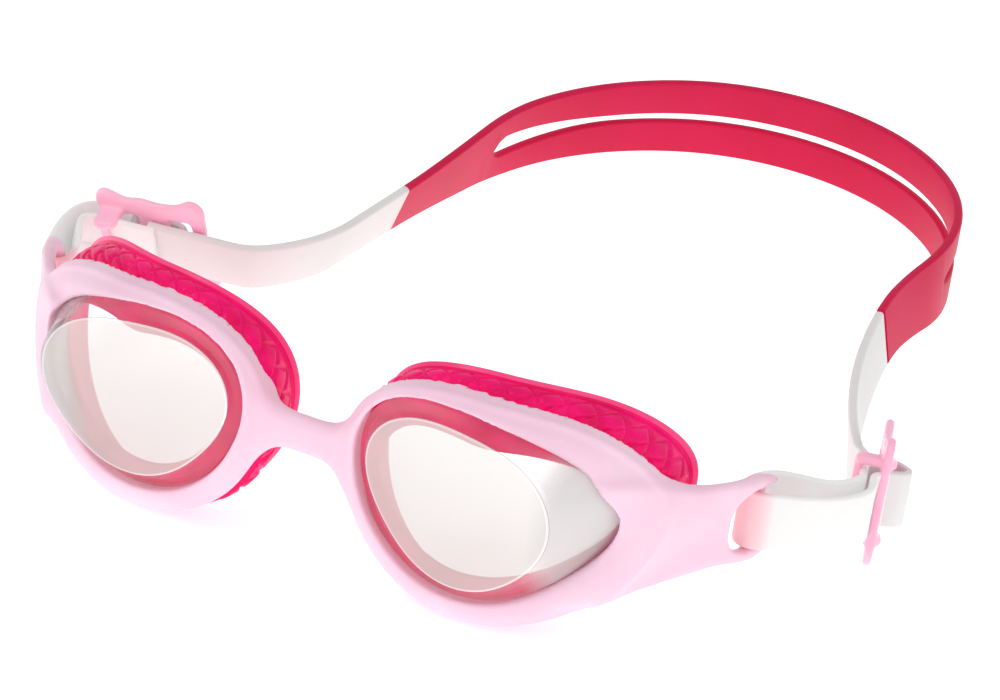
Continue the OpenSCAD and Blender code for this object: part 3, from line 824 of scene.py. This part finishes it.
# main lengths, each from inside its buckle to the magenta band
tail_run = STATION <= RIGHT_JOIN + 1e-6
lead = np.linspace(RIGHT_NEAR + HEAD * (HALF - 1), START, 14)[:-1]
right_main = strap_piece("right_strap_white", np.concatenate([lead, PATH[tail_run]]),
                         np.concatenate([np.full(len(lead), START_LEAN), run_lean(STATION[tail_run])]),
                         np.zeros(len(lead) + tail_run.sum()), OBLONG)
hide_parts("right_strap_end")
keep = (STATION >= LEFT_JOIN + 0.25) & (STATION <= LAST - (HALF - 1) / STEP)
left_st = STATION[keep][::-1]
tucked = PATH[keep][::-1] + np.outer(TUCK * step01(1 - (LAST - left_st) / TUCK_RUN), beside(TAIL, 1))
left_main = strap_piece("left_strap_white", tucked, -run_lean(left_st), run_drop(left_st), OBLONG)
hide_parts("left_strap_end")
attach(left_main, "left_strap")

# loops round the posts, and the folds over the buckles' bars. turn is the loop's hand, and fold is how
# far the fold stands out from the buckle.
for label, away, turn, spread, flare, reach, fold in (
        ("right", RIGHT_LOOP, 1, (4, 16), (0, 22), (6, 9), 2.0),
        ("left", LEFT_LOOP, -1, (26, 34), (14, 34), (9, 12), 4.6)):
    plan, share, drop = loop(label, POSTS[label], away, turn, spread, flare, reach)
    base = START_LEAN if label == "right" else 0
    piece = strap_piece(f"{label}_strap_loop", plan, base * share ** 1.5, drop, THIN, mat=LOOP_LIT)
    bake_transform(piece)
    over = [(-6.4, -0.6), (-5.6, 0.6), (-4.6, fold * 0.72), (-2.6, fold), (0, fold), (2.6, fold * 0.8),
            (4.8, fold * 0.55), (6.2, 0.3), (7.0, -0.6)]
    plan = np.array([local(label, x, y) for x, y in over])
    piece = strap_piece(f"{label}_strap_fold", plan, np.full(len(over), base),
                        np.array([local_drop(label, x) for x, _ in over]), THIN, 0.35)
    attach(piece, f"{label}_clip")

# the right main length and the band keep their places baked into their points
for piece in (right_main, band):
    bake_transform(piece)


# ---- buckles ------------------------------------------------------------------------------
def buckle_field(x, y, z):
    """A buckle: an eared plate with two windows, and lugs that hold a bar on its inner side."""
    az = np.abs(z)
    hl, hh = HALF, BUCKLE_H / 2
    # two broad ears at the corners, and a low bump between them
    edge = hh + 1.0 + EAR_H * 0.85 * np.exp(-((np.abs(x) - hl + 2.4) / 2.8) ** 2) + 0.6 * np.exp(
        -((x + 2) / 2.4) ** 2)
    plate = smax(np.abs(x) - hl - 0.12 * (az - hh), (az - edge) * 0.85, 2.0)
    for sx in (-1, 1):
        win = smax(np.abs(x - sx * (hl - 5.9)) - 2.4, az - STRAP_H / 2 - 0.1, 1.0)
        plate = smax(plate, -win, 0.5)
    d = smax(plate, np.abs(y) - BUCKLE_T / 2, 0.7)
    inner, outer = 5.6, BUCKLE_T / 2 + 1.0
    wz = STRAP_H / 2 + 0.3
    lug = smax(np.abs(x + hl - 3.4) - 2.4, np.abs(y - (outer - inner) / 2) - (outer + inner) / 2, 1.4)
    lug = smax(lug, np.abs(az - wz - 0.8) - 0.85, 0.8)
    d = smin(d, lug, 0.8)
    bar = smax(np.hypot(x + hl - 3, y + inner - 0.7) - 0.75, az - wz - 1, 0.3)
    return smin(d, bar, 0.5)


verts, faces = nets(buckle_field, (-HALF - 1.5, -7, -BUCKLE_H / 2 - EAR_H - 1.5),
                    (HALF + 1.5, 3.5, BUCKLE_H / 2 + EAR_H + 1.5), BUCKLE_GRID)
turned = Matrix.Rotation
# each buckle's place and turn, and -1 where its shape is mirrored
spots = {
    "right": (Matrix.Translation((*SITES["right"][0], STRAP_Z - LAYER_OFF * math.sin(LEAN)))
              @ turned(math.radians(HEADING), 4, "Z") @ turned(-LEAN, 4, "X")
              @ turned(math.radians(RIGHT_TIP), 4, "Y"), 1),
    "left": (Matrix.Translation((*SITES["left"][0], STRAP_Z - math.sin(PITCH) * HALF))
             @ turned(math.radians(LEFT_ALONG), 4, "Z") @ turned(PITCH, 4, "Y")
             @ turned(math.radians(LEFT_TIP), 4, "X"), -1),
}
for label, (m, flip) in spots.items():
    m = np.array(m)
    pts = (verts * [1, flip, 1]) @ m[:3, :3].T + m[:3, 3]
    clip = mesh_object(f"{label}_buckle_clip", pts, faces if flip > 0 else faces[:, ::-1], CLIP)
    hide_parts(f"{label}_buckle")
    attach(clip, f"{label}_clip")

# ---- floor, light and camera --------------------------------------------------------------
lo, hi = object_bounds()
bpy.ops.mesh.primitive_plane_add(size=6, location=(0, 0.5, lo[2] - 0.0005))
floor = bpy.context.object
floor.name = "floor"
paper = bpy.data.materials.new("paper_floor")
paper.use_nodes = True
paper_bsdf = paper.node_tree.nodes["Principled BSDF"]
paper_bsdf.inputs["Base Color"].default_value = (0.93, 0.93, 0.93, 1)
paper_bsdf.inputs["Roughness"].default_value = 0.9
paper_bsdf.inputs["Specular IOR Level"].default_value = 0.1
paper_bsdf.inputs["Emission Color"].default_value = (1, 1, 1, 1)
paper_bsdf.inputs["Emission Strength"].default_value = 0.6
floor.data.materials.append(paper)

world = bpy.data.worlds.new("studio")
world.use_nodes = True
world.node_tree.nodes["Background"].inputs["Color"].default_value = (1, 1, 1, 1)
world.node_tree.nodes["Background"].inputs["Strength"].default_value = 0.6
bpy.context.scene.world = world


def soft_light(name, place_m, size, power):
    """A round light aimed at the goggles, with its place and size in metres and power in watts."""
    data = bpy.data.lights.new(name, "AREA")
    data.shape, data.size, data.energy = "DISK", size, power
    ob = bpy.data.objects.new(name, data)
    ob.location = place_m
    ob.rotation_euler = (Vector((0, 0.05, 0)) - Vector(place_m)).to_track_quat("-Z", "Y").to_euler()
    bpy.context.collection.objects.link(ob)


soft_light("key", (-0.5, -0.6, 1.0), 0.5, 3)
soft_light("fill", (0.9, -0.4, 0.6), 0.7, 1.5)

VIEW_AZ, VIEW_EL, VIEW_ROLL = (math.radians(a) for a in (26.06, 32.839, 6.731))
VIEW_DIST, AIM_RIGHT, AIM_UP, AIM_Y = 0.519, 0.03432, 0.01974, -0.004
SENSOR_MM, LENS_MM = 36, 109.58
back = Vector((math.sin(VIEW_AZ) * math.cos(VIEW_EL), -math.cos(VIEW_AZ) * math.cos(VIEW_EL),
               math.sin(VIEW_EL)))
right = Vector((math.cos(VIEW_AZ), math.sin(VIEW_AZ), 0))
up = back.cross(right)
aim_at = AIM_RIGHT * right + AIM_UP * up + Vector((0, AIM_Y, 0))
eye = VIEW_DIST * back + Vector((0, AIM_Y, 0))
axis = (eye - aim_at).normalized()
level = Vector((0, 0, 1)).cross(axis).normalized()
plumb = axis.cross(level)
cam_x = math.cos(VIEW_ROLL) * level + math.sin(VIEW_ROLL) * plumb
cam_y = -math.sin(VIEW_ROLL) * level + math.cos(VIEW_ROLL) * plumb
cam = bpy.data.objects.new("camera", bpy.data.cameras.new("camera"))
cam.data.sensor_width, cam.data.lens = SENSOR_MM, LENS_MM
cam.matrix_world = Matrix(((cam_x.x, cam_y.x, axis.x, eye.x), (cam_x.y, cam_y.y, axis.y, eye.y),
                           (cam_x.z, cam_y.z, axis.z, eye.z), (0, 0, 0, 1)))
bpy.context.collection.objects.link(cam)
bpy.context.scene.camera = cam
bpy.context.scene.view_settings.view_transform = "Standard"
